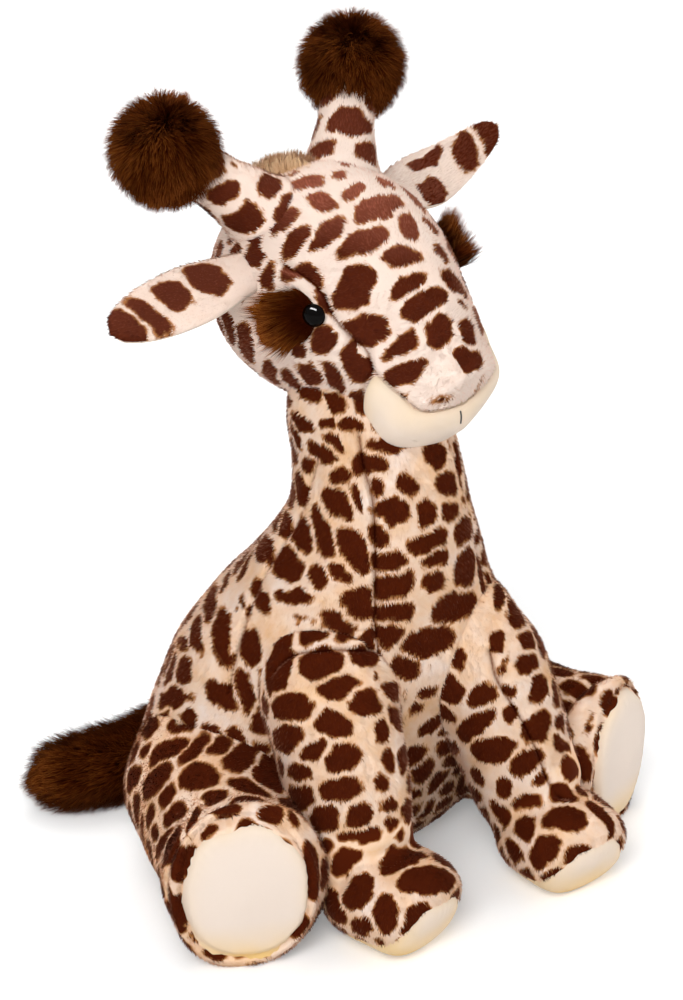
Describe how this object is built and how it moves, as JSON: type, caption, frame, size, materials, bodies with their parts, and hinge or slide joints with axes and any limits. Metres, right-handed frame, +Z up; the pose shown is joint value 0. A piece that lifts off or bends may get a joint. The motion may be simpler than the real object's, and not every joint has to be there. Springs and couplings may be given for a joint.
{
  "type": "plush giraffe",
  "caption": "Sitting plush giraffe with a long neck, furry horn pompoms, printed coat, smooth soles and a pellet-weighted seat.",
  "frame": {"origin": "middle of the footprint, on the floor", "axes": "+Z up, -Y the way the chest faces, +X to the left side of the toy"},
  "size_m": [0.319, 0.275, 0.4535],
  "materials": {
    "printed_plush": "short printed pile",
    "brown_fur": "long pile",
    "tan_fur": "long pile",
    "cream_cloth": "smooth",
    "polyester_fibre": "loose fibre",
    "plastic_pellets": "loose pellets",
    "eye_plastic": "polished",
    "washer_plastic": "moulded",
    "black_thread": "twisted"
  },
  "bodies": {
    "torso": {"body_cover": "printed_plush", "body_filling": "polyester_fibre", "pellet_bag": "plastic_pellets"},
    "head": {"head_cover": "printed_plush", "chin_panel": "cream_cloth", "head_filling": "polyester_fibre", "mouth_stitch": "black_thread", "mane_tuft": "tan_fur", "eye_right": "eye_plastic", "eye_washer_right": "washer_plastic", "eye_fur_patch_right": "brown_fur", "eye_left": "eye_plastic", "eye_washer_left": "washer_plastic", "eye_fur_patch_left": "brown_fur"},
    "horn_right": {"horn_stem_right": "printed_plush", "horn_filling_right": "polyester_fibre", "horn_pompom_right": "brown_fur"},
    "horn_left": {"horn_stem_left": "printed_plush", "horn_filling_left": "polyester_fibre", "horn_pompom_left": "brown_fur"},
    "ear_right": {"ear_back_right": "printed_plush", "ear_lining_right": "cream_cloth"},
    "ear_left": {"ear_back_left": "printed_plush", "ear_lining_left": "cream_cloth"},
    "front_limb_right": {"front_leg_right": "printed_plush", "front_leg_filling_right": "polyester_fibre", "front_sole_right": "cream_cloth"},
    "front_limb_left": {"front_leg_left": "printed_plush", "front_leg_filling_left": "polyester_fibre", "front_sole_left": "cream_cloth"},
    "hind_limb_right": {"hind_leg_right": "printed_plush", "hind_leg_filling_right": "polyester_fibre", "hind_sole_right": "cream_cloth"},
    "hind_limb_left": {"hind_leg_left": "printed_plush", "hind_leg_filling_left": "polyester_fibre", "hind_sole_left": "cream_cloth"},
    "tail": {"tail_cover": "brown_fur", "tail_filling": "polyester_fibre"}
  },
  "joints": [
    {"name": "neck_nod", "type": "hinge", "parent": "torso", "child": "head", "pos_m": [0.0021, -0.00926, 0.2699], "axis": [1, 0, 0], "range_deg": [-10, 12], "stiffness_Nm_per_rad": 2.5},
    {"name": "horn_bend_right", "type": "hinge", "parent": "head", "child": "horn_right", "pos_m": [-0.03791, 0.03174, 0.37271], "axis": [0.9771, 0.1679, 0.1308], "range_deg": [-12, 12], "stiffness_Nm_per_rad": 0.4},
    {"name": "ear_bend_right", "type": "hinge", "parent": "head", "child": "ear_right", "pos_m": [-0.05598, 0.01694, 0.34319], "axis": [-0.2125, 0.7387, 0.6397], "range_deg": [-15, 15], "stiffness_Nm_per_rad": 0.15},
    {"name": "front_leg_swing_right", "type": "hinge", "parent": "torso", "child": "front_limb_right", "pos_m": [-0.0499, -0.03726, 0.162], "axis": [-1, 0, 0], "range_deg": [0, 25], "stiffness_Nm_per_rad": 1.2},
    {"name": "hind_leg_lift_right", "type": "hinge", "parent": "torso", "child": "hind_limb_right", "pos_m": [-0.0789, 0.07474, 0.094], "axis": [-1, 0, 0], "range_deg": [0, 20], "stiffness_Nm_per_rad": 1.5},
    {"name": "horn_bend_left", "type": "hinge", "parent": "head", "child": "horn_left", "pos_m": [0.02462, 0.04248, 0.38108], "axis": [0.9771, 0.1679, 0.1308], "range_deg": [-12, 12], "stiffness_Nm_per_rad": 0.4},
    {"name": "ear_bend_left", "type": "hinge", "parent": "head", "child": "ear_left", "pos_m": [0.05346, 0.03574, 0.35784], "axis": [-0.2125, 0.7387, 0.6397], "range_deg": [-15, 15], "stiffness_Nm_per_rad": 0.15},
    {"name": "front_leg_swing_left", "type": "hinge", "parent": "torso", "child": "front_limb_left", "pos_m": [0.0451, -0.04126, 0.162], "axis": [-1, 0, 0], "range_deg": [0, 25], "stiffness_Nm_per_rad": 1.2},
    {"name": "hind_leg_lift_left", "type": "hinge", "parent": "torso", "child": "hind_limb_left", "pos_m": [0.0831, 0.07474, 0.094], "axis": [-1, 0, 0], "range_deg": [0, 20], "stiffness_Nm_per_rad": 1.5},
    {"name": "tail_lift", "type": "hinge", "parent": "torso", "child": "tail", "pos_m": [-0.00383, 0.10668, 0.038], "axis": [0, 1, 0], "range_deg": [0, 25], "stiffness_Nm_per_rad": 0.6}
  ]
}
